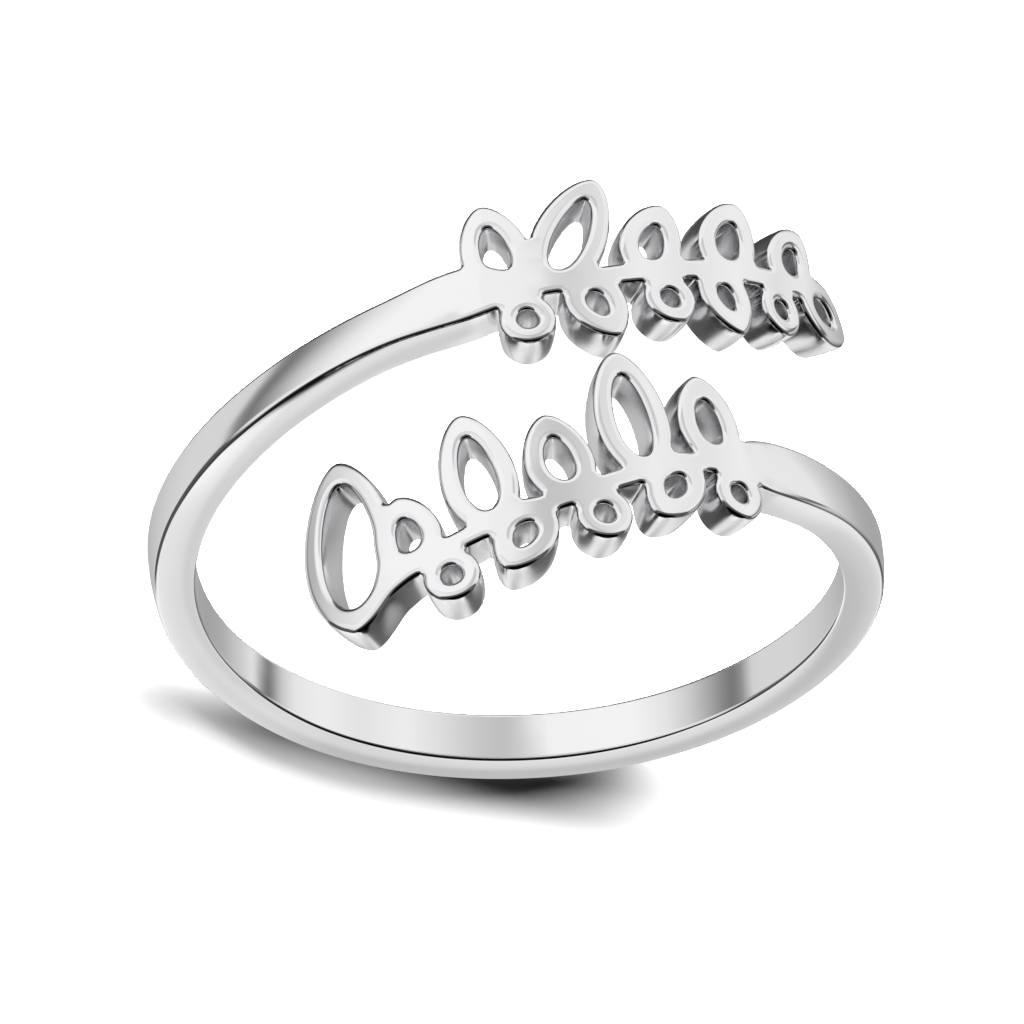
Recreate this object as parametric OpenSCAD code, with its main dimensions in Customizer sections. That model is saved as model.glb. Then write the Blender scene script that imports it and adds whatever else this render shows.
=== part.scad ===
// Open bypass ring of polished silver, cast in one piece. Its two arms pass each other at the
// front, and each ends in an openwork spray of leaves. It lies on its side, on the tips of the
// far spray's leaves and on the far edge of the band.

/* [Finger hole] */
// Inside diameter of the ring
bore_d = 17.3; // [15:0.1:21]

/* [Silver] */
// Thickness of the band and of both sprays, from the finger outwards
wall = 1.13; // [0.9:0.01:1.4]
// Width of the strokes that outline the leaves
stroke = 0.56; // [0.5:0.01:0.6]
// Width of the stems that carry the leaves
stem = 0.62; // [0.5:0.01:0.8]
// How far the stems' faces lie below the leaves'
recess = 0.05; // [0.03:0.01:0.1]

/* [Rest] */
// How far the ring's axis leans from upright as it lies
rest_lean = 17.15; // [17:0.05:17.3]
// Angle round the ring of the side that the far spray's tips hold up
rest_turn = 125.8; // [125:0.1:126.5]

/* [Hidden] */

bore_r = bore_d / 2;
outer_r = bore_r + wall;
// Radii past both faces of the silver, which the exact walls then trim
inside_r = bore_r - 0.4;
outside_r = outer_r + 0.6;
// How far a leaf's foot reaches back past the middle of its stem
foot = 0.4 * stem;
// How pointed a leaf and its opening are, and how far the opening stays from both ends as a share
// of the stroke
leaf_point = 1.3;
opening_point = 1;
tip_inset = 1.3;
// Height of the round cutters, more than the whole ring's
tall = 40;
// Angle between two sections of the band, and between two points of a leaf's outline
band_step = 5;
leaf_step = 15;
$fn = 96;

// Angles run round the ring from the middle of the band, plus towards the right arm and the near
// spray. Heights run along the ring's axis, plus towards the near side, from the band's near face
// at its middle.
ANGLE = 0;
MIDDLE = 1;
WIDTH = 2;
NEAR_OUT = 3;
FAR_OUT = 4;
// Sections of the band and of the stems that it narrows to: angle, middle height, width, and how
// far the near and the far edge of the outer face stand out past outer_r
band_rows = [
    [-234, -5.40, stem, -recess, -recess],
    [-223, -4.95, stem, -recess, -recess],
    [-211, -4.40, stem, -recess, -recess],
    [-199, -3.75, stem, -recess, -recess],
    [-189, -3.30, stem, -recess, -recess],
    [-182, -3.10, 0.95, -recess, -recess],
    [-174, -2.98, 1.65, 0, 0],
    [-160, -2.45, 1.40, 0, 0],
    [-140, -1.78, 1.35, 0, 0.02],
    [-120, -1.28, 1.34, 0, 0.10],
    [-100, -1.00, 1.30, 0, 0.18],
    [-80, -0.86, 1.28, 0, 0.20],
    [-60, -0.79, 1.34, 0, 0.20],
    [-35, -0.74, 1.48, 0, 0.18],
    [35, -0.74, 1.48, 0, 0.12],
    [55, -0.67, 1.42, 0, 0.10],
    [75, -0.46, 1.34, 0, 0.08],
    [95, -0.12, 1.37, 0, 0.02],
    [115, 0.34, 1.50, 0, -0.08],
    [135, 0.97, 1.70, 0, -0.16],
    [143, 1.30, 1.20, -recess, -recess],
    [150, 1.70, stem, -recess, -recess],
    [164, 2.75, stem, -recess, -recess],
    [176, 3.70, stem, -recess, -recess],
    [188, 4.55, stem, -recess, -recess],
    [198, 5.40, stem, -recess, -recess],
    [205, 6.45, stem, -recess, -recess],
];

LENGTH = 1;
BELLY = 2;
COURSE = 3;
// Leaves of both sprays: angle of the foot, length, belly width, course seen from outside
near_leaves = [
    [147, 2.75, 1.85, -76],
    [159.5, 3.90, 2.05, -78],
    [171.5, 2.75, 1.85, -75],
    [183.5, 3.75, 2.00, -77],
    [195.5, 2.45, 1.80, -78],
    [205, 5.30, 2.65, -84],
    [152.5, 2.30, 1.65, 62],
    [176.5, 2.30, 1.65, 64],
];
far_leaves = [
    [-180, 2.94, 1.85, -76],
    [-186.5, 3.90, 1.95, -112],
    [-201.5, 2.60, 1.75, -107],
    [-215.5, 2.70, 1.85, -106],
    [-229, 2.40, 1.75, -112],
    [-191.5, 2.20, 1.65, 120],
    [-214, 2.20, 1.65, 118],
    [-234, 2.50, 1.75, 170],
];

DIAMETER = 1;
DROP = 2;
// Berries under both stems: angle, diameter, height of the middle above the stem's
near_berries = [
    [143.5, 1.50, 1.02],
    [166.5, 1.50, 0.90],
    [190, 1.50, 0.90],
];
far_berries = [
    [-183, 1.50, 1.05],
    [-206, 1.50, 0.90],
    [-228, 1.50, 0.90],
];

// Value of one column of the band's rows at any angle, on a smooth curve through the rows
function slope(rows, i, column) =
    let(low = max(i - 1, 0), high = min(i + 1, len(rows) - 1))
    (rows[high][column] - rows[low][column]) / (rows[high][ANGLE] - rows[low][ANGLE]);
function between(rows, i, column, angle) =
    let(span = rows[i + 1][ANGLE] - rows[i][ANGLE],
        t = (angle - rows[i][ANGLE]) / span,
        rise = t * t * (3 - 2 * t))
    rows[i][column] * (1 - rise) + rows[i + 1][column] * rise
        + span * slope(rows, i, column) * t * (1 - t) * (1 - t)
        - span * slope(rows, i + 1, column) * t * t * (1 - t);
function row_below(rows, angle, i = 0) =
    i >= len(rows) - 2 || rows[i + 1][ANGLE] > angle ? i : row_below(rows, angle, i + 1);
function smooth(rows, column, angle) =
    between(rows, row_below(rows, angle), column, angle);

// Point at an angle round the ring, at a radius and a height
function on_ring(angle, radius, height) =
    [radius * sin(angle), -radius * cos(angle), height];

// Outline of a leaf that grows along X from the origin, more pointed at both ends by a power
function leaf_outline(length, belly, point) =
    [for (t = [0 : leaf_step : 360 - leaf_step])
        let(side = sin(t), full = pow(abs(side), point) * (1 + 0.15 * cos(t)))
        [length / 2 * (1 - cos(t)), belly / 2 * full * sign(side)]];

// The ring as it lies: turned until the raised side is in front, leant back, and turned again
// until the sprays are in front
function turned(p, a) = [p.x * cos(a) - p.y * sin(a), p.x * sin(a) + p.y * cos(a), p.z];
function leant(p, a) = [p.x, p.y * cos(a) + p.z * sin(a), p.z * cos(a) - p.y * sin(a)];
function lying(p) = turned(leant(turned(p, -rest_turn), rest_lean), rest_turn - 180);

// Section of the band at an angle: its corners, with the inner ones at a given radius
function band_section(angle, inner_r) =
    let(middle = smooth(band_rows, MIDDLE, angle), half = smooth(band_rows, WIDTH, angle) / 2)
    [
        on_ring(angle, inner_r, middle - half),
        on_ring(angle, outer_r + smooth(band_rows, FAR_OUT, angle), middle - half),
        on_ring(angle, outer_r + smooth(band_rows, NEAR_OUT, angle), middle + half),
        on_ring(angle, inner_r, middle + half),
    ];
band_start = band_rows[0][ANGLE];
band_sweep = band_rows[len(band_rows) - 1][ANGLE] - band_start;
band_count = round(band_sweep / band_step);
band_angles = [for (i = [0 : band_count]) band_start + band_sweep * i / band_count];

// Corners of the band's sections and of the leaves' outlines, on both faces of the silver
band_corners = [for (angle = band_angles) each band_section(angle, bore_r)];
leaf_corners = [for (row = concat(near_leaves, far_leaves),
        p = leaf_outline(row[LENGTH], row[BELLY], leaf_point))
    let(q = turned([p.x - foot, p.y, 0], row[COURSE]),
        height = smooth(band_rows, MIDDLE, row[ANGLE]) + q.y)
    each [for (r = [bore_r, outer_r]) on_ring(row[ANGLE] + asin(q.x / r), r, height)]];
lying_corners = [for (p = concat(band_corners, leaf_corners)) lying(p)];
function reach(axis) = let(all = [for (p = lying_corners) p[axis]]) [min(all), max(all)];
// Point on the table under the middle of the lying ring
stand = [(reach(0)[0] + reach(0)[1]) / 2, (reach(1)[0] + reach(1)[1]) / 2, reach(2)[0]];

// Silver cut straight outwards at an angle round the ring, from an outline seen from outside
module cut_outwards(angle) {
    rotate([90, 0, angle])
        translate([0, 0, inside_r])
            linear_extrude(outside_r - inside_r)
                children();
}

// One open leaf, from its foot in the stem to its tip
module leaf(length, belly) {
    inset = tip_inset * stroke;
    translate([-foot, 0])
        difference() {
            polygon(leaf_outline(length, belly, leaf_point));
            translate([inset, 0])
                polygon(leaf_outline(length - 2 * inset, belly - 2 * stroke, opening_point));
        }
}

// One berry with its eye
module berry(diameter) {
    difference() {
        circle(d = diameter);
        circle(d = diameter - 1.7 * stroke);
    }
}

// A spray: leaves with their feet on the stem, and berries under it
module spray(leaves, berries) {
    for (row = leaves)
        cut_outwards(row[ANGLE])
            translate([0, smooth(band_rows, MIDDLE, row[ANGLE])])
                rotate(row[COURSE])
                    leaf(row[LENGTH], row[BELLY]);
    for (row = berries)
        cut_outwards(row[ANGLE])
            translate([0, smooth(band_rows, MIDDLE, row[ANGLE]) + row[DROP]])
                berry(row[DIAMETER]);
}

// The band and the stems, lofted through their sections from a little inside the finger hole
module band() {
    points = [for (angle = band_angles) each band_section(angle, inside_r)];
    sides = [for (i = [0 : band_count - 1], k = [0 : 3])
        let(a = 4 * i + k, b = 4 * i + (k + 1) % 4)
        each [[a, b, b + 4], [a, b + 4, a + 4]]];
    end = [for (k = [0 : 3]) 4 * band_count + k];
    polyhedron(points, concat([[0, 3, 2, 1]], sides, [end]));
}

// The finger hole
module finger_hole() {
    cylinder(r = bore_r, h = tall, center = true);
}

module ring() {
    color("silver")
        translate(-stand)
            rotate([0, 0, rest_turn - 180])
                rotate([-rest_lean, 0, 0])
                    rotate([0, 0, -rest_turn])
                        silver();
}

// All of the silver, with the ring's axis along Z
module silver() {
    difference() {
        band();
        finger_hole();
    }
    intersection() {
        union() {
            spray(near_leaves, near_berries);
            spray(far_leaves, far_berries);
        }
        difference() {
            cylinder(r = outer_r, h = tall - 10, center = true);
            finger_hole();
        }
    }
}

ring();
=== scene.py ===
import math

import bpy
import numpy as np
from mathutils import Matrix, Vector
from mathutils.geometry import delaunay_2d_cdt


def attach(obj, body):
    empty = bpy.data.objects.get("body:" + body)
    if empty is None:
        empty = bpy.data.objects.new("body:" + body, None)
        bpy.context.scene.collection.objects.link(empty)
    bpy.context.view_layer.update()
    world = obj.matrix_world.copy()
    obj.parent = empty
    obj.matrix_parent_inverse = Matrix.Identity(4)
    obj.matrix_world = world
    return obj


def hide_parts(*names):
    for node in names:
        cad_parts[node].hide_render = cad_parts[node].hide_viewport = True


# Open bypass ring of polished silver, lying on its side. The whole casting is drawn flat, as a
# plate unrolled from the finger, and then bent round the finger hole and laid on the table.

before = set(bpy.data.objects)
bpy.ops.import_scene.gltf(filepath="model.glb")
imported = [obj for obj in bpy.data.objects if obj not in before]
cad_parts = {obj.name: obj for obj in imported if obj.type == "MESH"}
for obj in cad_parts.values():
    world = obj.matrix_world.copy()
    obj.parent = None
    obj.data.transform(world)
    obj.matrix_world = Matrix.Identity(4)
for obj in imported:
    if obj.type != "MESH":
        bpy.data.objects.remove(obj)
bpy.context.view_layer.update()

MM = 0.001

# Sizes, in millimetres
BORE_R = 8.65
WALL = 1.13
OUTER_R = BORE_R + WALL
STROKE = 0.56
STEM = 0.62
BERRY_STROKE = 0.85 * STROKE
FOOT = 0.4 * STEM
# How pointed a leaf and its opening are, how much fuller a leaf is at its foot, how far the
# opening stays from both ends as a share of the stroke, and the radius that rounds the tips
LEAF_POINT = 1.3
OPENING_POINT = 1.0
LEAF_FULLNESS = 0.15
TIP_INSET = 1.3
TIP_ROUND = 0.22
# Radius of the fillets where strokes meet, and how far along the plate a stem's end rounds it
FILLET = 0.16
END_REACH = 3

# How the ring lies: the lean of its axis, the side it leans to, and the point under its middle
REST_LEAN = math.radians(17.15)
REST_TURN = math.radians(125.8)
STAND = (-0.236, -0.486, -4.338)

# Polished outer edges, on the band and on the sprays: how wide they are and how far they drop
BAND_EDGE = (0.12, 0.10)
SPRAY_EDGE = (0.17, 0.13)
# Angles at which the band's edges have become the sprays', and how long the change takes
SPRAYS_FROM = (-176, 141)
EDGE_CHANGE = 4
# Radius of the edges round the finger hole, and the flat strip that holds a face beside its edge
INNER_EDGE = 0.09
HOLD = 0.015
# How far the walls belly out between their edges, and how far the band's outer face is domed
BELLY_OUT = 0.03
DOME = 0.04

# Angle between two points of a leaf's outline, and the steps across an edge and down a wall
LEAF_STEP = 6
EDGE_STEPS = 5
WALL_STEPS = 4
# Distance between points along an outline, and between those that fill a face, whose rows lie
# a little closer together
OUTLINE_STEP = 0.08
FILL_STEP = 0.2
ROW_STEP = 0.9 * FILL_STEP
# Grid on which outlines are found: its cell, and the angles and heights that it covers
CELL = 0.05
GRID_ANGLES = (-246, 222)
GRID_HEIGHTS = (-8.4, 13.0)
# Distances from the stem's course that the filling points cover
FILL_HEIGHTS = (-10, 14)
# Shortest outline that is kept, its fewest points, and how often they are drawn onto the edge
SHORTEST_OUTLINE = 0.5
FEWEST_POINTS = 12
TIMES_DRAWN = 3

# The layout is the one in the part's own source. Sections of the band and of the stems that it
# narrows to: angle, middle height, width, and how far the near and the far edge of the outer face
# stand out past the outer radius
BAND_ROWS = np.array([
    (-234, -5.40, STEM, 0, 0),
    (-223, -4.95, STEM, 0, 0),
    (-211, -4.40, STEM, 0, 0),
    (-199, -3.75, STEM, 0, 0),
    (-189, -3.30, STEM, 0, 0),
    (-182, -3.10, 0.95, 0, 0),
    (-174, -2.98, 1.65, 0, 0),
    (-160, -2.45, 1.40, 0, 0),
    (-140, -1.78, 1.35, 0, 0.02),
    (-120, -1.28, 1.34, 0, 0.10),
    (-100, -1.00, 1.30, 0, 0.18),
    (-80, -0.86, 1.28, 0, 0.20),
    (-60, -0.79, 1.34, 0, 0.20),
    (-35, -0.74, 1.48, 0, 0.18),
    (35, -0.74, 1.48, 0, 0.12),
    (55, -0.67, 1.42, 0, 0.10),
    (75, -0.46, 1.34, 0, 0.08),
    (95, -0.12, 1.37, 0, 0.02),
    (115, 0.34, 1.50, 0, -0.08),
    (135, 0.97, 1.70, 0, -0.16),
    (143, 1.30, 1.20, 0, 0),
    (150, 1.70, STEM, 0, 0),
    (164, 2.75, STEM, 0, 0),
    (176, 3.70, STEM, 0, 0),
    (188, 4.55, STEM, 0, 0),
    (198, 5.40, STEM, 0, 0),
    (205, 6.45, STEM, 0, 0),
])
ANGLE, MIDDLE, WIDTH, NEAR_OUT, FAR_OUT = 0, 1, 2, 3, 4
BAND_ENDS = BAND_ROWS[[0, -1], ANGLE]

# Leaves of both sprays: angle of the foot, length, belly width, course seen from outside
LEAVES = [
    (147, 2.75, 1.85, -76),
    (159.5, 3.90, 2.05, -78),
    (171.5, 2.75, 1.85, -75),
    (183.5, 3.75, 2.00, -77),
    (195.5, 2.45, 1.80, -78),
    (205, 5.30, 2.65, -84),
    (152.5, 2.30, 1.65, 62),
    (176.5, 2.30, 1.65, 64),
    (-180, 2.94, 1.85, -76),
    (-186.5, 3.90, 1.95, -112),
    (-201.5, 2.60, 1.75, -107),
    (-215.5, 2.70, 1.85, -106),
    (-229, 2.40, 1.75, -112),
    (-191.5, 2.20, 1.65, 120),
    (-214, 2.20, 1.65, 118),
    (-234, 2.50, 1.75, 170),
]
# Berries under both stems: angle, diameter, height of the middle above the stem's
BERRIES = [
    (143.5, 1.50, 1.02),
    (166.5, 1.50, 0.90),
    (190, 1.50, 0.90),
    (-183, 1.50, 1.05),
    (-206, 1.50, 0.90),
    (-228, 1.50, 0.90),
]

# Polished silver: its colour, its roughness where the finest scratches are shallow and deep, and
# the waves that polishing by hand leaves. Scales are per metre, and the depth is in metres.
SILVER_COLOUR = (0.80, 0.80, 0.81, 1)
ROUGHNESS = (0.03, 0.10)
SCRATCH_SCALE = 900
WAVE_SCALE = 420
WAVE_STRENGTH = 0.4
WAVE_DEPTH = 0.00002
# How much rougher the openings' walls are, which no polishing wheel reaches, and what share of
# that the sprays' outside walls have
SATIN = 0.30
OUTSIDE_SHARE = 0.6

# Table: its half side, in metres, and how pale and rough it is
TABLE_REACH = 3.0
TABLE_COLOUR = (0.9, 0.9, 0.9, 1)
TABLE_ROUGHNESS = 0.9

# What the silver mirrors, by the bearing from behind the ring, plus towards its right: stops of
# bearing in degrees and brightness, for the low screens, those at the silver's level and the high
# ones. The low screens slant: their bearing shrinks by this share towards straight down.
LOW_SLANT = 0.65
LOW_SCREENS = [
    (-180, 1.10), (-90, 1.05), (-66, 1.0), (-56, 0.98), (-50, 0.78), (-43, 0.62), (-37, 0.50),
    (-32, 0.46), (-26, 0.43), (-14, 0.42), (-4, 0.46), (5, 0.53), (14, 0.62), (24, 0.72),
    (36, 0.81), (48, 0.82), (52, 0.78), (56.5, 0.33), (60, 0.22), (64, 0.30), (70, 0.50),
    (78, 0.76), (87, 0.97), (100, 1.12), (180, 1.10),
]
LEVEL_SCREENS = [
    (-180, 0.86), (-174, 0.78), (-167, 0.65), (-159, 0.70), (-147, 0.90), (-135, 1.06),
    (-120, 0.96), (-105, 1.06), (-94, 0.98), (-88, 0.72), (-82, 0.20), (-76, 0.20), (-71, 0.72),
    (-60, 0.58), (-48, 0.32), (-40, 0.14), (-28, 0.14), (-22, 0.80), (-14, 1.02), (-9, 0.98),
    (-5, 0.78), (3, 0.64), (9, 0.62), (14, 0.88), (24, 1.12), (33, 1.05), (40, 0.10), (95, 0.10),
    (104, 0.9), (140, 1.05), (180, 0.86),
]
HIGH_SCREENS = [
    (-180, 0.15), (-60, 0.08), (-30, 0.15), (-22, 0.90), (-14, 0.92), (-8, 0.76), (1, 0.79),
    (5, 0.76), (9, 0.88), (16, 0.94), (30, 1.0), (40, 0.9), (48, 0.05), (120, 0.05), (180, 0.15),
]
# Heights between which each set of screens gives way to the next, as the sine above the level
LOW_TO_LEVEL = (-0.39, -0.35)
LEVEL_TO_HIGH = (0.28, 0.46)
# The high screens get brighter upwards, and dark cloths close the room above and below: heights
# between which each changes, and the share of the brightness at its far end
HIGH_RISE = (0.50, 0.67, 1.2)
CEILING = (0.70, 0.76, 0.01)
FLOOR_CLOTH = (-0.88, -0.78, 0.12)

# The key comes low from behind the camera and throws the one soft shadow. Lamps are in metres.
KEY_TURN = math.radians(-21)
KEY_HEIGHT = math.radians(30)
KEY_AWAY = 0.6
KEY_SIZE = 0.20
KEY_POWER = 9.9
# Pools of light leave only a patch of the table to the key, beside the edge of the band that lies
# lowest: the patch's middle and bearing; for each pool its bearing from there, how far from the
# middle it begins, over what width it reaches its full light, its power, and whether the ring
# shades it
PATCH_MIDDLE = (0.0028, 0.0117)
PATCH_BEARING = 34.3
POOLS = [
    (4, -0.0005, 0.0018, 9.5, False),
    (90, 0.0042, 0.0062, 9.5, False),
    (177, 0.0004, 0.0020, 9.5, True),
    (177, 0.0014, 0.0014, 17, False),
    (270, 0.0056, 0.0076, 9.5, False),
]
POOL_RADIUS = 0.25
POOL_HEIGHT = 0.50

# Where the camera looks at the ring from, in the ring's own frame: the height above the plane of
# its edges, the roll of the picture, how near it is as the hole's radius over the distance, how
# many points of the picture that radius takes, and the point that the ring's middle falls on
SIGHT_HEIGHT = math.radians(57.19)
SIGHT_ROLL = math.radians(-2.33)
SIGHT_NEARNESS = 0.045
PIXELS_PER_BORE = 323.27
MIDDLE_IN_PICTURE = (519.0, 590.3)
PICTURE = 1024
SENSOR = 36.0
SIGHT_LIMITS = (0.01, 20)


def smooth_row(column, angle):
    """Value of one column of the band's rows at any angle, on a smooth curve through the rows."""
    at, value = BAND_ROWS[:, ANGLE], BAND_ROWS[:, column]
    low = np.clip(np.arange(len(at)) - 1, 0, None)
    high = np.clip(np.arange(len(at)) + 1, None, len(at) - 1)
    slope = (value[high] - value[low]) / (at[high] - at[low])
    i = np.clip(np.searchsorted(at, angle, side="right") - 1, 0, len(at) - 2)
    span = at[i + 1] - at[i]
    t = (angle - at[i]) / span
    rise = t * t * (3 - 2 * t)
    return (value[i] * (1 - rise) + value[i + 1] * rise
            + span * slope[i] * t * (1 - t) ** 2 - span * slope[i + 1] * t * t * (1 - t))


def stem_height(angle):
    """Middle height of the stem or band at one angle."""
    return float(smooth_row(MIDDLE, np.array(angle, float)))


def arc(angle):
    """Distance along the unrolled outer face for an angle round the ring."""
    return math.radians(1) * OUTER_R * angle


def band_angle(x):
    """Angle round the ring of points along the plate, kept between the band's ends."""
    return np.clip(np.degrees(x / OUTER_R), *BAND_ENDS)


def to_outline(x, y, corners):
    """Signed distance from points to a closed outline, minus inside."""
    start, end = corners, np.roll(corners, -1, axis=0)
    best = np.full(x.shape, np.inf)
    inside = np.zeros(x.shape, bool)
    for (ax, ay), (bx, by) in zip(start, end):
        ex, ey = bx - ax, by - ay
        px, py = x - ax, y - ay
        t = np.clip((px * ex + py * ey) / (ex * ex + ey * ey), 0, 1)
        best = np.minimum(best, (px - t * ex) ** 2 + (py - t * ey) ** 2)
        if ey:
            crosses = (ay > y) != (by > y)
            inside ^= crosses & (px < py * ex / ey)
    return np.where(inside, -1, 1) * np.sqrt(best)


def leaf_outline(length, belly, point):
    """Outline of a leaf that grows along X from the origin, its ends pointed by a power."""
    t = np.radians(np.arange(0, 360, LEAF_STEP))
    side = np.sin(t)
    full = np.abs(side) ** point * (1 + LEAF_FULLNESS * np.cos(t))
    return np.stack([length / 2 * (1 - np.cos(t)), belly / 2 * full * np.sign(side)], 1)


def leaf_distance(along, across, length, belly):
    """Signed distance to an open leaf whose foot reaches back into its stem, minus inside."""
    inset = TIP_INSET * STROKE
    rim = leaf_outline(length - 2 * TIP_ROUND, belly - 2 * TIP_ROUND, LEAF_POINT) + [TIP_ROUND, 0]
    opening = leaf_outline(length - 2 * inset, belly - 2 * STROKE, OPENING_POINT) + [inset, 0]
    along = along + FOOT
    return np.maximum(to_outline(along, across, rim) - TIP_ROUND,
                      -to_outline(along, across, opening))


def band_distance(x, y):
    """Signed distance to the band and the stems, which end round, minus inside."""
    angle = band_angle(x)
    half_degree = 0.5

    def steepness(at):
        rise = smooth_row(MIDDLE, at + half_degree) - smooth_row(MIDDLE, at - half_degree)
        return rise / (2 * arc(half_degree))

    lean = np.sqrt(1 + steepness(angle) ** 2)
    distance = (np.abs(y - smooth_row(MIDDLE, angle)) - smooth_row(WIDTH, angle) / 2) / lean
    for end, way in zip(BAND_ENDS, (-1, 1)):
        slope = float(steepness(end - way * half_degree))
        dx, dy = x - arc(end), y - float(smooth_row(MIDDLE, end))
        past = ((dx + dy * slope) * way > 0) & (np.abs(dx) < END_REACH)
        cap = np.hypot(dx, dy) - float(smooth_row(WIDTH, end)) / 2 / math.sqrt(1 + slope ** 2)
        distance = np.where(past, cap, distance)
    return distance


def merge(a, b, soft):
    """Union of two distances, with a fillet where they meet."""
    reach = np.clip(soft - np.abs(a - b), 0, None) / soft
    return np.minimum(a, b) - reach * reach * soft / 4


def silver_distance(x, y):
    """Signed distance from points of the unrolled plate to the silver's outline, minus inside."""
    distance = band_distance(x, y)
    margin = STROKE + FILLET
    for angle, length, belly, course in LEAVES:
        c, s = math.cos(math.radians(course)), math.sin(math.radians(course))
        dx, dy = x - arc(angle), y - stem_height(angle)
        along, across = dx * c + dy * s, dy * c - dx * s
        near = (along > -FOOT - margin) & (along < length - FOOT + margin)
        near &= np.abs(across) < belly / 2 + margin
        if near.any():
            part = leaf_distance(along[near], across[near], length, belly)
            distance[near] = merge(distance[near], part, FILLET)
    for angle, diameter, drop in BERRIES:
        away = np.hypot(x - arc(angle), y - (stem_height(angle) + drop))
        part = np.abs(away - (diameter - BERRY_STROKE) / 2) - BERRY_STROKE / 2
        near = part < margin
        distance[near] = merge(distance[near], part[near], FILLET)
    return distance


def inward(points):
    """Unit directions into the silver at points of its outline, and the distance there."""
    probe = 0.004
    x, y = points[:, 0], points[:, 1]
    gx = (silver_distance(x + probe, y) - silver_distance(x - probe, y)) / (2 * probe)
    gy = (silver_distance(x, y + probe) - silver_distance(x, y - probe)) / (2 * probe)
    size = np.maximum(np.hypot(gx, gy), 1e-6)
    return np.stack([-gx / size, -gy / size], 1), silver_distance(x, y) / size


# Sides of a grid cell that the outline joins, with the silver on its right: below, east, north
# and west. A key is the sum of 1, 2, 4 and 8 for those corners of the cell that are silver, from
# the one below in the west round by the east.
CELL_JOINS = {
    1: ["wb"], 2: ["be"], 3: ["we"], 4: ["en"], 5: ["wb", "en"], 6: ["bn"], 7: ["wn"],
    8: ["nw"], 9: ["nb"], 10: ["be", "nw"], 11: ["ne"], 12: ["ew"], 13: ["eb"], 14: ["bw"],
}


def rough_outlines():
    """Closed outlines of the silver, as points where they cross the sides of the grid's cells."""
    xs = np.arange(arc(GRID_ANGLES[0]), arc(GRID_ANGLES[1]), CELL)
    ys = np.arange(*GRID_HEIGHTS, CELL)
    grid_x, grid_y = np.meshgrid(xs, ys, indexing="ij")
    field = silver_distance(grid_x.ravel(), grid_y.ravel()).reshape(grid_x.shape)
    # No corner of a cell lies exactly on the outline
    field[field == 0] = 1e-9
    full = field < 0

    def crossing(i, j, di, dj):
        a, b = field[i, j], field[i + di, j + dj]
        t = a / (a - b)
        return xs[i] + t * CELL * di, ys[j] + t * CELL * dj

    code = full[:-1, :-1] * 1 + full[1:, :-1] * 2 + full[1:, 1:] * 4 + full[:-1, 1:] * 8
    follow, place = {}, {}
    for i, j in zip(*np.nonzero((code > 0) & (code < 15))):
        i, j = int(i), int(j)
        sides = {"b": (i, j, 1, 0), "e": (i + 1, j, 0, 1),
                 "n": (i, j + 1, 1, 0), "w": (i, j, 0, 1)}
        for a, b in CELL_JOINS[int(code[i, j])]:
            follow[sides[a]] = sides[b]
            for side in (sides[a], sides[b]):
                if side not in place:
                    place[side] = crossing(*side)
    loops = []
    while follow:
        at = next(iter(follow))
        loop = []
        while at in follow:
            loop.append(place[at])
            at = follow.pop(at)
        loops.append(np.array(loop))
    return loops


def outlines():
    """Closed outlines of the silver, as evenly spaced points with the silver on their right."""
    even = []
    for loop in rough_outlines():
        closed = np.vstack([loop, loop[:1]])
        run = np.concatenate([[0], np.cumsum(np.hypot(*np.diff(closed, axis=0).T))])
        if run[-1] < SHORTEST_OUTLINE:
            continue
        count = max(FEWEST_POINTS, int(round(run[-1] / OUTLINE_STEP)))
        at = np.arange(count) * run[-1] / count
        points = np.stack([np.interp(at, run, closed[:, k]) for k in (0, 1)], 1)
        for _ in range(TIMES_DRAWN):
            way, off = inward(points)
            points = points + way * off[:, None]
        even.append(points)
    return even


def within(points, rims):
    """Whether each point lies inside the faces' rims, and outside the rims of their openings."""
    inside = np.zeros(len(points), bool)
    for rim in rims:
        for (ax, ay), (bx, by) in zip(rim, np.roll(rim, -1, axis=0)):
            if ay != by:
                low, high = min(ay, by), max(ay, by)
                level = np.nonzero((points[:, 1] > low) & (points[:, 1] <= high))[0]
                left = points[level, 0] < ax + (points[level, 1] - ay) * (bx - ax) / (by - ay)
                inside[level] ^= left
    return inside


def on_sprays(x):
    """How far points of the plate belong to the sprays, from 0 on the band to 1."""
    angle = np.degrees(x / OUTER_R)
    past = np.maximum(SPRAYS_FROM[0] - angle, angle - SPRAYS_FROM[1]) / EDGE_CHANGE + 1
    return np.clip(past, 0, 1)


def stand_out(x, y):
    """How far the outer face stands out past the outer radius, at points of the plate."""
    angle = band_angle(x)
    across = (y - smooth_row(MIDDLE, angle)) / smooth_row(WIDTH, angle)
    level = np.clip(across + 0.5, 0, 1)
    edges = smooth_row(NEAR_OUT, angle) * level + smooth_row(FAR_OUT, angle) * (1 - level)
    return edges - DOME * (1 - on_sprays(x)) * np.clip(2 * across, -1, 1) ** 2


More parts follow.
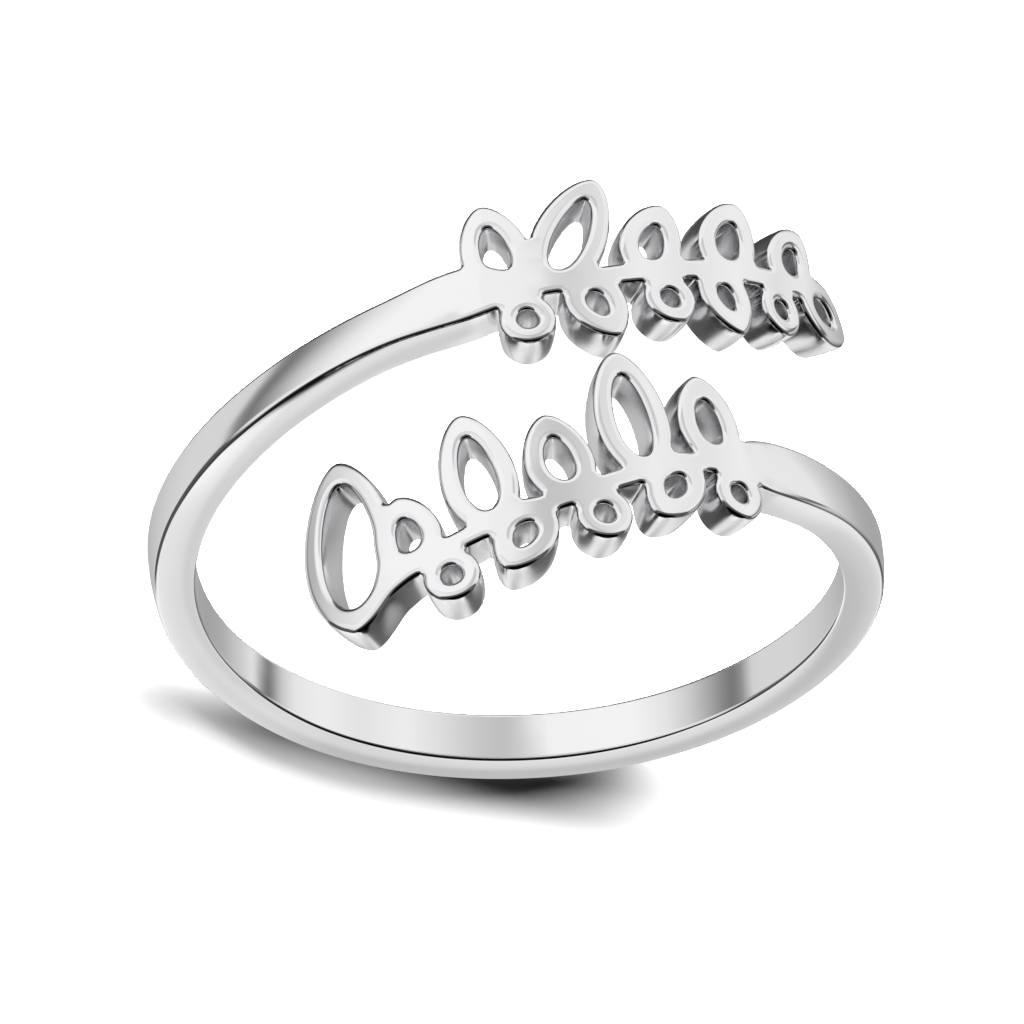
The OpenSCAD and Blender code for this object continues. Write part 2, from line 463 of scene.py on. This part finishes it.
def edge_rows(x):
    """Rows of the edges and walls at an outline's points: distance in from it and height."""
    share = on_sprays(x)
    wide = BAND_EDGE[0] + share * (SPRAY_EDGE[0] - BAND_EDGE[0])
    drop = BAND_EDGE[1] + share * (SPRAY_EDGE[1] - BAND_EDGE[1])
    rows = [(wide + HOLD, WALL)]
    for k in range(EDGE_STEPS + 1):
        a = math.pi / 2 * k / EDGE_STEPS
        rows.append((wide * (1 - math.sin(a)), WALL - drop * (1 - math.cos(a))))
    top, bottom = WALL - drop, INNER_EDGE
    for k in range(1, WALL_STEPS):
        down = k / WALL_STEPS
        rows.append((-4 * BELLY_OUT * down * (1 - down), top + (bottom - top) * down))
    for k in range(EDGE_STEPS + 1):
        a = math.pi / 2 * (1 - k / EDGE_STEPS)
        rows.append((INNER_EDGE * (1 - math.sin(a)), INNER_EDGE * (1 - math.cos(a))))
    rows.append((INNER_EDGE + HOLD, 0.0))
    return [(np.broadcast_to(inset, x.shape), np.broadcast_to(height, x.shape))
            for inset, height in rows]


def rounded(points):
    """Points rounded as the triangulation rounds them, so that both find the same ones inside."""
    return points.astype(np.float32).astype(float)


def edges_and_walls():
    """All that joins the two faces: points, heights, satin, sides, and both faces' rims."""
    last_row = len(edge_rows(np.zeros(1))) - 1
    first_wall_row = EDGE_STEPS + 2
    flat, heights, satin, sides = [], [], [], []
    rims = {0: [], last_row: []}
    count = 0
    for loop in outlines():
        way, _ = inward(loop)
        n = len(loop)
        x, y = loop[:, 0], loop[:, 1]
        # Openings are outlined counterclockwise, and the plate itself clockwise
        opening = np.sum(x * np.roll(y, -1) - y * np.roll(x, -1)) > 0
        unpolished = np.ones(n) if opening else OUTSIDE_SHARE * on_sprays(x)
        for r, (inset, height) in enumerate(edge_rows(x)):
            flat.append(loop + way * inset[:, None])
            heights.append(height)
            satin.append(unpolished * (r >= first_wall_row))
            if r in rims:
                rims[r].append(count + r * n + np.arange(n))
        for r in range(last_row):
            for k in range(n):
                a, b = count + r * n + k, count + r * n + (k + 1) % n
                sides.append((a, b, b + n, a + n))
        count += n * (last_row + 1)
    heights, satin = np.concatenate(heights), np.concatenate(satin)
    return rounded(np.vstack(flat)), heights, satin, sides, rims[0], rims[last_row]


def filling_points():
    """Points that fill both faces, in rows that follow the band."""
    xs = np.arange(arc(GRID_ANGLES[0]), arc(GRID_ANGLES[1]), FILL_STEP)
    ys = np.arange(*FILL_HEIGHTS, ROW_STEP)
    x, y = np.meshgrid(xs, ys, indexing="ij")
    x = x + (np.arange(len(ys)) % 2) * FILL_STEP / 2
    y = y + smooth_row(MIDDLE, band_angle(x))
    fill = rounded(np.stack([x.ravel(), y.ravel()], 1))
    rim_inset = edge_rows(fill[:, 0])[0][0]
    return fill[silver_distance(fill[:, 0], fill[:, 1]) < -(rim_inset + FILL_STEP / 2)]


def face_triangles(flat, rims, fill):
    """Triangles of one face, as places in its rims' points followed by those that fill it."""
    sides, at = [], 0
    for rim in rims:
        n = len(rim)
        sides += [(at + k, at + (k + 1) % n) for k in range(n)]
        at += n
    points = [Vector(p) for p in np.vstack([flat[np.concatenate(rims)], fill])]
    # Kind 0 gives every triangle, also those across openings, and 1e-7 is its margin of error
    _, _, triangles, origin, _, _ = delaunay_2d_cdt(points, sides, [], 0, 1e-7)
    tri = np.array([[origin[v][0] for v in t] for t in triangles])
    corner = np.array([[p.x, p.y] for p in points])[tri]
    keep = within(corner.mean(1), [flat[rim] for rim in rims])
    tri, corner = tri[keep], corner[keep]
    turn = np.cross(corner[:, 1] - corner[:, 0], corner[:, 2] - corner[:, 0])
    tri[turn < 0] = tri[turn < 0][:, ::-1]
    return tri


def flat_plate():
    """Mesh of the unrolled casting: X along the outer face, Y across it, Z out from the finger."""
    flat, heights, satin, faces, outer_rims, inner_rims = edges_and_walls()
    fill = filling_points()
    for rims, height, outward in ((outer_rims, WALL, True), (inner_rims, 0.0, False)):
        whole = np.concatenate([*rims, len(flat) + np.arange(len(fill))])
        tri = face_triangles(flat, rims, fill)
        if not outward:
            tri = tri[:, ::-1]
        faces += [tuple(int(v) for v in whole[t]) for t in tri]
        flat = np.vstack([flat, fill])
        heights = np.concatenate([heights, np.full(len(fill), height)])
        satin = np.concatenate([satin, np.zeros(len(fill))])

    lift = stand_out(flat[:, 0], flat[:, 1]) * heights / WALL
    points = np.column_stack([flat, heights + lift]) * MM
    mesh = bpy.data.meshes.new("silver plate")
    mesh.from_pydata(points.tolist(), [], faces)
    mesh.update()
    mesh.attributes.new("satin", "FLOAT", "POINT").data.foreach_set("value", satin)
    return mesh


def math_node(tree, operation, a, b=None):
    """Add a math node, whose inputs are numbers or other nodes' outputs, and give its output."""
    node = tree.nodes.new("ShaderNodeMath")
    node.operation = operation
    for k, value in enumerate((a, b)):
        if isinstance(value, (int, float)):
            node.inputs[k].default_value = value
        elif value is not None:
            tree.links.new(value, node.inputs[k])
    return node.outputs[0]


def bending_tree():
    """Geometry nodes that bend the plate round the finger hole and lay the ring on the table."""
    tree = bpy.data.node_groups.new("bend round the finger", "GeometryNodeTree")
    tree.is_modifier = True
    face = tree.interface
    for name, kind in (("Plate", "Geometry"), ("Hole radius", "Float"), ("Outer radius", "Float"),
                       ("Lean", "Float"), ("Turn", "Float"), ("Stand", "Vector"),
                       ("Silver", "Material")):
        face.new_socket(name, in_out="INPUT", socket_type="NodeSocket" + kind)
    face.new_socket("Ring", in_out="OUTPUT", socket_type="NodeSocketGeometry")
    nodes, links = tree.nodes, tree.links
    start, end = nodes.new("NodeGroupInput"), nodes.new("NodeGroupOutput")

    def rotate(vector, axis, angle):
        node = nodes.new("ShaderNodeVectorRotate")
        node.rotation_type = axis
        links.new(vector, node.inputs["Vector"])
        links.new(angle, node.inputs["Angle"])
        return node.outputs[0]

    place = nodes.new("GeometryNodeInputPosition")
    split = nodes.new("ShaderNodeSeparateXYZ")
    links.new(place.outputs[0], split.inputs[0])
    angle = math_node(tree, "DIVIDE", split.outputs[0], start.outputs["Outer radius"])
    radius = math_node(tree, "ADD", split.outputs[2], start.outputs["Hole radius"])
    join = nodes.new("ShaderNodeCombineXYZ")
    sine = math_node(tree, "SINE", angle)
    links.new(math_node(tree, "MULTIPLY", radius, sine), join.inputs[0])
    minus_cosine = math_node(tree, "MULTIPLY", math_node(tree, "COSINE", angle), -1.0)
    links.new(math_node(tree, "MULTIPLY", radius, minus_cosine), join.inputs[1])
    links.new(split.outputs[1], join.inputs[2])
    turn, lean = start.outputs["Turn"], start.outputs["Lean"]
    turned = rotate(join.outputs[0], "Z_AXIS", math_node(tree, "MULTIPLY", turn, -1.0))
    leant = rotate(turned, "X_AXIS", math_node(tree, "MULTIPLY", lean, -1.0))
    lying = rotate(leant, "Z_AXIS", math_node(tree, "SUBTRACT", turn, math.pi))
    down = nodes.new("ShaderNodeVectorMath")
    down.operation = "SUBTRACT"
    links.new(lying, down.inputs[0])
    links.new(start.outputs["Stand"], down.inputs[1])
    move = nodes.new("GeometryNodeSetPosition")
    links.new(start.outputs["Plate"], move.inputs["Geometry"])
    links.new(down.outputs[0], move.inputs["Position"])
    shade = nodes.new("GeometryNodeSetShadeSmooth")
    links.new(move.outputs[0], shade.inputs["Geometry"])
    real = nodes.new("GeometryNodeRealizeInstances")
    links.new(shade.outputs[0], real.inputs[0])
    finish = nodes.new("GeometryNodeSetMaterial")
    links.new(real.outputs[0], finish.inputs["Geometry"])
    links.new(start.outputs["Silver"], finish.inputs["Material"])
    links.new(finish.outputs[0], end.inputs[0])
    return tree


def polished_silver():
    """Bright polished silver, with the faint waviness of a hand-polished casting."""
    material = bpy.data.materials.new("polished silver")
    material.use_nodes = True
    nodes, links = material.node_tree.nodes, material.node_tree.links
    shader = nodes["Principled BSDF"]
    shader.inputs["Base Color"].default_value = SILVER_COLOUR
    shader.inputs["Metallic"].default_value = 1
    place = nodes.new("ShaderNodeTexCoord")
    scratches = nodes.new("ShaderNodeTexNoise")
    scratches.inputs["Scale"].default_value = SCRATCH_SCALE
    scratches.inputs["Detail"].default_value = 3
    links.new(place.outputs["Object"], scratches.inputs["Vector"])
    rough = nodes.new("ShaderNodeMapRange")
    rough.inputs["To Min"].default_value = ROUGHNESS[0]
    rough.inputs["To Max"].default_value = ROUGHNESS[1]
    links.new(scratches.outputs["Fac"], rough.inputs["Value"])
    walls = nodes.new("ShaderNodeAttribute")
    walls.attribute_name = "satin"
    finish = nodes.new("ShaderNodeMath")
    finish.operation = "MULTIPLY_ADD"
    finish.inputs[1].default_value = SATIN
    links.new(walls.outputs["Fac"], finish.inputs[0])
    links.new(rough.outputs["Result"], finish.inputs[2])
    links.new(finish.outputs[0], shader.inputs["Roughness"])
    waves = nodes.new("ShaderNodeTexNoise")
    waves.inputs["Scale"].default_value = WAVE_SCALE
    waves.inputs["Detail"].default_value = 1
    links.new(place.outputs["Object"], waves.inputs["Vector"])
    bump = nodes.new("ShaderNodeBump")
    bump.inputs["Strength"].default_value = WAVE_STRENGTH
    bump.inputs["Distance"].default_value = WAVE_DEPTH
    links.new(waves.outputs["Fac"], bump.inputs["Height"])
    links.new(bump.outputs["Normal"], shader.inputs["Normal"])
    return material


def bent_ring(silver):
    """The ring: the plate bent by the tree and turned into a plain mesh."""
    plate = bpy.data.objects.new("plate", flat_plate())
    bpy.context.collection.objects.link(plate)
    tree = bending_tree()
    bend = plate.modifiers.new("bend", "NODES")
    bend.node_group = tree
    sockets = [item for item in tree.interface.items_tree if item.in_out == "INPUT"]
    name_of = {item.name: item.identifier for item in sockets}
    bend[name_of["Hole radius"]] = BORE_R * MM
    bend[name_of["Outer radius"]] = OUTER_R * MM
    bend[name_of["Lean"]] = REST_LEAN
    bend[name_of["Turn"]] = REST_TURN
    bend[name_of["Stand"]] = [v * MM for v in STAND]
    bend[name_of["Silver"]] = silver
    ready = plate.evaluated_get(bpy.context.evaluated_depsgraph_get())
    mesh = bpy.data.meshes.new_from_object(ready)
    plate.modifiers.remove(bend)
    bpy.data.objects.remove(plate)
    mesh.name = "silver casting"
    casting = bpy.data.objects.new("silver_casting", mesh)
    bpy.context.collection.objects.link(casting)
    return casting


def pale_table():
    """Pale table that the ring lies on. The silver mirrors the studio's screens in its place."""
    side = TABLE_REACH
    corners = [(-side, -side, 0), (side, -side, 0), (side, side, 0), (-side, side, 0)]
    mesh = bpy.data.meshes.new("table")
    mesh.from_pydata(corners, [], [(0, 1, 2, 3)])
    table = bpy.data.objects.new("table", mesh)
    bpy.context.collection.objects.link(table)
    material = bpy.data.materials.new("pale table")
    material.use_nodes = True
    shader = material.node_tree.nodes["Principled BSDF"]
    shader.inputs["Base Color"].default_value = TABLE_COLOUR
    shader.inputs["Roughness"].default_value = TABLE_ROUGHNESS
    shader.inputs["Specular IOR Level"].default_value = 0.0
    mesh.materials.append(material)
    table.visible_glossy = False
    return table


def studio_screens():
    """Room of pale and dark screens that the silver mirrors, and that doesn't light the table."""
    world = bpy.data.worlds.new("studio")
    bpy.context.scene.world = world
    world.cycles_visibility.diffuse = False
    world.use_nodes = True
    tree = world.node_tree
    nodes, links = tree.nodes, tree.links
    back = nodes["Background"]
    place = nodes.new("ShaderNodeTexCoord")
    split = nodes.new("ShaderNodeSeparateXYZ")
    links.new(place.outputs["Generated"], split.inputs[0])
    height = split.outputs[2]

    def soft_step(low, high, at_low, at_high):
        node = nodes.new("ShaderNodeMapRange")
        node.interpolation_type = "SMOOTHSTEP"
        links.new(height, node.inputs["Value"])
        for name, number in (("From Min", low), ("From Max", high),
                             ("To Min", at_low), ("To Max", at_high)):
            node.inputs[name].default_value = number
        return node.outputs["Result"]

    def screens(bearing, stops):
        node = nodes.new("ShaderNodeValToRGB")
        band = node.color_ramp
        band.interpolation = "LINEAR"
        while len(band.elements) < len(stops):
            band.elements.new(0.5)
        for element, (degrees, value) in zip(band.elements, stops):
            element.position = degrees / 360 + 0.5
            element.color = (value, value, value, 1)
        turns = math_node(tree, "DIVIDE", bearing, 2 * math.pi)
        links.new(math_node(tree, "ADD", turns, 0.5), node.inputs["Fac"])
        return node.outputs["Color"]

    def times(a, b):
        return math_node(tree, "MULTIPLY", a, b)

    def blend(share, a, b):
        node = nodes.new("ShaderNodeMix")
        node.data_type = "FLOAT"
        for k, value in ((0, share), (2, a), (3, b)):
            links.new(value, node.inputs[k])
        return node.outputs[0]

    bearing = math_node(tree, "ARCTAN2", split.outputs[0], split.outputs[1])
    slanted = times(bearing, math_node(tree, "ADD", times(height, LOW_SLANT), 1.0))
    low = times(screens(slanted, LOW_SCREENS), soft_step(*FLOOR_CLOTH[:2], FLOOR_CLOTH[2], 1))
    high = times(screens(bearing, HIGH_SCREENS), soft_step(*HIGH_RISE[:2], 1, HIGH_RISE[2]))
    room = blend(soft_step(*LOW_TO_LEVEL, 0, 1), low, screens(bearing, LEVEL_SCREENS))
    room = blend(soft_step(*LEVEL_TO_HIGH, 0, 1), room, high)
    room = times(room, soft_step(*CEILING[:2], 1, CEILING[2]))
    links.new(room, back.inputs["Color"])
    back.inputs["Strength"].default_value = 1.0


def hang_lamp(data, place, aim):
    """Hang a lamp that lights the table, and that neither the camera nor the silver sees."""
    lamp = bpy.data.objects.new(data.name, data)
    lamp.location = place
    lamp.rotation_euler = (Vector(aim) - Vector(place)).to_track_quat("-Z", "Y").to_euler()
    lamp.visible_glossy = False
    lamp.visible_camera = False
    bpy.context.collection.objects.link(lamp)


def table_lamps():
    """The key and the pools of light, which alone light the table."""
    level = KEY_AWAY * math.cos(KEY_HEIGHT)
    key_place = (level * math.sin(KEY_TURN), -level * math.cos(KEY_TURN),
                 KEY_AWAY * math.sin(KEY_HEIGHT))
    key = bpy.data.lights.new("key", "AREA")
    key.shape = "DISK"
    key.size = KEY_SIZE
    key.energy = KEY_POWER
    hang_lamp(key, key_place, (0, 0, 0))
    half = math.atan2(POOL_RADIUS, POOL_HEIGHT)
    for bearing, start, width, power, shaded in POOLS:
        pool = bpy.data.lights.new("pool", "SPOT")
        pool.spot_size = 2 * half
        full = math.atan2(POOL_RADIUS - width, POOL_HEIGHT)
        pool.spot_blend = (math.cos(full) - math.cos(half)) / (1 - math.cos(half))
        pool.shadow_soft_size = 0
        pool.use_shadow = shaded
        pool.energy = power
        way = math.radians(PATCH_BEARING + bearing)
        away = start + POOL_RADIUS
        middle = (PATCH_MIDDLE[0] + away * math.sin(way), PATCH_MIDDLE[1] + away * math.cos(way))
        hang_lamp(pool, (*middle, POOL_HEIGHT), (*middle, 0))


def viewing_camera():
    """Camera on the ring's own line of sight, laid down with the ring as it lies on the table."""
    toward = Vector((0, math.sin(SIGHT_HEIGHT), math.cos(SIGHT_HEIGHT)))
    level_right = Vector((1, 0, 0))
    level_up = toward.cross(level_right)
    c, s = math.cos(SIGHT_ROLL), math.sin(SIGHT_ROLL)
    right, up = level_right * c + level_up * s, level_up * c - level_right * s
    distance = BORE_R / SIGHT_NEARNESS
    focal = PIXELS_PER_BORE / SIGHT_NEARNESS
    # The camera turns so that the picture's middle, not the ring's, is straight ahead of it
    ahead = (-toward
             + right * ((PICTURE / 2 - MIDDLE_IN_PICTURE[0]) / focal)
             - up * ((PICTURE / 2 - MIDDLE_IN_PICTURE[1]) / focal)).normalized()
    right = (right - ahead * right.dot(ahead)).normalized()
    up = right.cross(ahead)
    lay = (Matrix.Rotation(REST_TURN - math.pi, 3, "Z") @ Matrix.Rotation(-REST_LEAN, 3, "X")
           @ Matrix.Rotation(-REST_TURN, 3, "Z"))
    place = (lay @ (toward * distance) - Vector(STAND)) * MM
    turn = Matrix((right, up, -ahead)).transposed()
    data = bpy.data.cameras.new("camera")
    data.sensor_width = SENSOR
    data.lens = focal / PICTURE * SENSOR
    data.clip_start, data.clip_end = SIGHT_LIMITS
    camera = bpy.data.objects.new("camera", data)
    camera.matrix_world = Matrix.Translation(place) @ (lay @ turn).to_4x4()
    bpy.context.collection.objects.link(camera)
    bpy.context.scene.camera = camera


silver = polished_silver()
casting = bent_ring(silver)
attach(casting, "root")
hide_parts("ring")

pale_table()
studio_screens()
table_lamps()
viewing_camera()
bpy.context.scene.view_settings.view_transform = "Standard"
